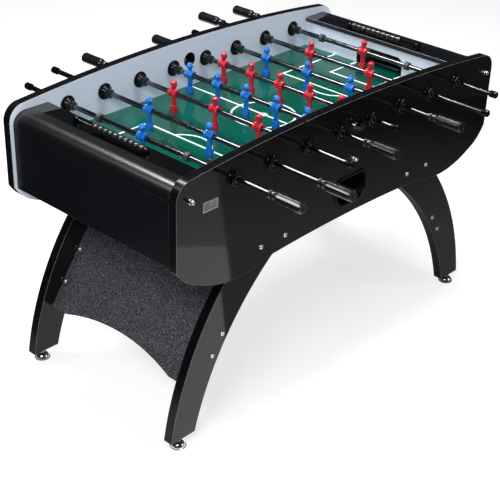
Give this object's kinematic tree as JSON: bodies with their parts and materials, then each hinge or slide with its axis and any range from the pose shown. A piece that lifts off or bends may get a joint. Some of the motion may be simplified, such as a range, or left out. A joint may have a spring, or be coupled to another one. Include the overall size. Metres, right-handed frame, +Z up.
{
  "type": "foosball table",
  "caption": "Full-size foosball table with curved legs, an arched cabinet, sliding rods with two teams of figures, score counters, serve cups and ball returns.",
  "frame": {"origin": "on the floor, under the middle of the table", "axes": "+X along the table from the blue team's goal to the red team's goal, +Y across it, away from the side with the blue team's handles, +Z up"},
  "size_m": [1.49, 1.34, 0.942],
  "materials": {
    "gloss_black_panel": "gloss",
    "satin_black_laminate": "satin",
    "silver_laminate": "satin",
    "green_field": "gloss",
    "fibreboard": "raw",
    "speckled_charcoal": "textured",
    "black_plastic": "satin",
    "grey_plastic": "matte",
    "counter_plastic": "gloss",
    "bearing_nylon": "matte",
    "black_rubber": "satin",
    "blue_plastic": "gloss",
    "red_plastic": "gloss",
    "chrome": "polished"
  },
  "bodies": {
    "table": {"side_panel_near": "gloss_black_panel", "side_panel_far": "gloss_black_panel", "end_panel_left": "satin_black_laminate", "end_panel_right": "satin_black_laminate", "top_board_left": "satin_black_laminate", "top_board_right": "satin_black_laminate", "goal_wall_left": "silver_laminate", "goal_wall_right": "silver_laminate", "goal_frames": "black_plastic", "playfield": "green_field", "field_supports": "fibreboard", "ball_ramps": "grey_plastic", "legs_left": "gloss_black_panel", "legs_right": "gloss_black_panel", "leg_panel": "speckled_charcoal", "leg_brackets": "fibreboard", "cabinet_bolts": "chrome", "bearing_flanges": "black_plastic", "bearing_nuts": "black_plastic", "serve_cups": "black_plastic", "return_cups": "black_plastic", "score_rails": "black_plastic"},
    "leveler_body_1": {"leveler_1": "chrome"},
    "leveler_body_2": {"leveler_2": "chrome"},
    "leveler_body_3": {"leveler_3": "chrome"},
    "leveler_body_4": {"leveler_4": "chrome"},
    "counters_left": {"score_beads_left": "counter_plastic"},
    "counters_right": {"score_beads_right": "counter_plastic"},
    "liner_body_1": {"liner_1": "bearing_nylon"},
    "rod_body_1": {"rod_1": "chrome", "men_1": "blue_plastic", "grip_1": "black_rubber"},
    "liner_body_2": {"liner_2": "bearing_nylon"},
    "rod_body_2": {"rod_2": "chrome", "men_2": "blue_plastic", "grip_2": "black_rubber"},
    "liner_body_3": {"liner_3": "bearing_nylon"},
    "rod_body_3": {"rod_3": "chrome", "men_3": "red_plastic", "grip_3": "black_rubber"},
    "liner_body_4": {"liner_4": "bearing_nylon"},
    "rod_body_4": {"rod_4": "chrome", "men_4": "blue_plastic", "grip_4": "black_rubber"},
    "liner_body_5": {"liner_5": "bearing_nylon"},
    "rod_body_5": {"rod_5": "chrome", "men_5": "red_plastic", "grip_5": "black_rubber"},
    "liner_body_6": {"liner_6": "bearing_nylon"},
    "rod_body_6": {"rod_6": "chrome", "men_6": "blue_plastic", "grip_6": "black_rubber"},
    "liner_body_7": {"liner_7": "bearing_nylon"},
    "rod_body_7": {"rod_7": "chrome", "men_7": "red_plastic", "grip_7": "black_rubber"},
    "liner_body_8": {"liner_8": "bearing_nylon"},
    "rod_body_8": {"rod_8": "chrome", "men_8": "red_plastic", "grip_8": "black_rubber"}
  },
  "joints": [
    {"name": "leveler_screw_1", "type": "slide", "parent": "table", "child": "leveler_body_1", "axis": [0, 0, -1], "range_m": [0, 0.015]},
    {"name": "leveler_screw_2", "type": "slide", "parent": "table", "child": "leveler_body_2", "axis": [0, 0, -1], "range_m": [0, 0.015]},
    {"name": "leveler_screw_3", "type": "slide", "parent": "table", "child": "leveler_body_3", "axis": [0, 0, -1], "range_m": [0, 0.015]},
    {"name": "leveler_screw_4", "type": "slide", "parent": "table", "child": "leveler_body_4", "axis": [0, 0, -1], "range_m": [0, 0.015]},
    {"name": "score_slide_left", "type": "slide", "parent": "table", "child": "counters_left", "axis": [0, 1, 0], "range_m": [0, 0.063]},
    {"name": "score_slide_right", "type": "slide", "parent": "table", "child": "counters_right", "axis": [0, -1, 0], "range_m": [0, 0.063]},
    {"name": "rod_1_spin", "type": "hinge", "parent": "table", "child": "liner_body_1", "pos_m": [-0.525, 0, 0.857], "axis": [0, 1, 0], "continuous": true},
    {"name": "rod_1_slide", "type": "slide", "parent": "liner_body_1", "child": "rod_body_1", "axis": [0, 1, 0], "range_m": [-0.1135, 0.1135]},
    {"name": "rod_2_spin", "type": "hinge", "parent": "table", "child": "liner_body_2", "pos_m": [-0.375, 0, 0.857], "axis": [0, 1, 0], "continuous": true},
    {"name": "rod_2_slide", "type": "slide", "parent": "liner_body_2", "child": "rod_body_2", "axis": [0, 1, 0], "range_m": [-0.168, 0.16]},
    {"name": "rod_3_spin", "type": "hinge", "parent": "table", "child": "liner_body_3", "pos_m": [-0.225, 0, 0.857], "axis": [0, 1, 0], "continuous": true},
    {"name": "rod_3_slide", "type": "slide", "parent": "liner_body_3", "child": "rod_body_3", "axis": [0, 1, 0], "range_m": [-0.111, 0.111]},
    {"name": "rod_4_spin", "type": "hinge", "parent": "table", "child": "liner_body_4", "pos_m": [-0.075, 0, 0.857], "axis": [0, 1, 0], "continuous": true},
    {"name": "rod_4_slide", "type": "slide", "parent": "liner_body_4", "child": "rod_body_4", "axis": [0, 1, 0], "range_m": [-0.047, 0.031]},
    {"name": "rod_5_spin", "type": "hinge", "parent": "table", "child": "liner_body_5", "pos_m": [0.075, 0, 0.857], "axis": [0, 1, 0], "continuous": true},
    {"name": "rod_5_slide", "type": "slide", "parent": "liner_body_5", "child": "rod_body_5", "axis": [0, 1, 0], "range_m": [-0.039, 0.039]},
    {"name": "rod_6_spin", "type": "hinge", "parent": "table", "child": "liner_body_6", "pos_m": [0.225, 0, 0.857], "axis": [0, 1, 0], "continuous": true},
    {"name": "rod_6_slide", "type": "slide", "parent": "liner_body_6", "child": "rod_body_6", "axis": [0, 1, 0], "range_m": [-0.123, 0.099]},
    {"name": "rod_7_spin", "type": "hinge", "parent": "table", "child": "liner_body_7", "pos_m": [0.375, 0, 0.857], "axis": [0, 1, 0], "continuous": true},
    {"name": "rod_7_slide", "type": "slide", "parent": "liner_body_7", "child": "rod_body_7", "axis": [0, 1, 0], "range_m": [-0.16, 0.168]},
    {"name": "rod_8_spin", "type": "hinge", "parent": "table", "child": "liner_body_8", "pos_m": [0.525, 0, 0.857], "axis": [0, 1, 0], "continuous": true},
    {"name": "rod_8_slide", "type": "slide", "parent": "liner_body_8", "child": "rod_body_8", "axis": [0, 1, 0], "range_m": [-0.1255, 0.1015]}
  ]
}
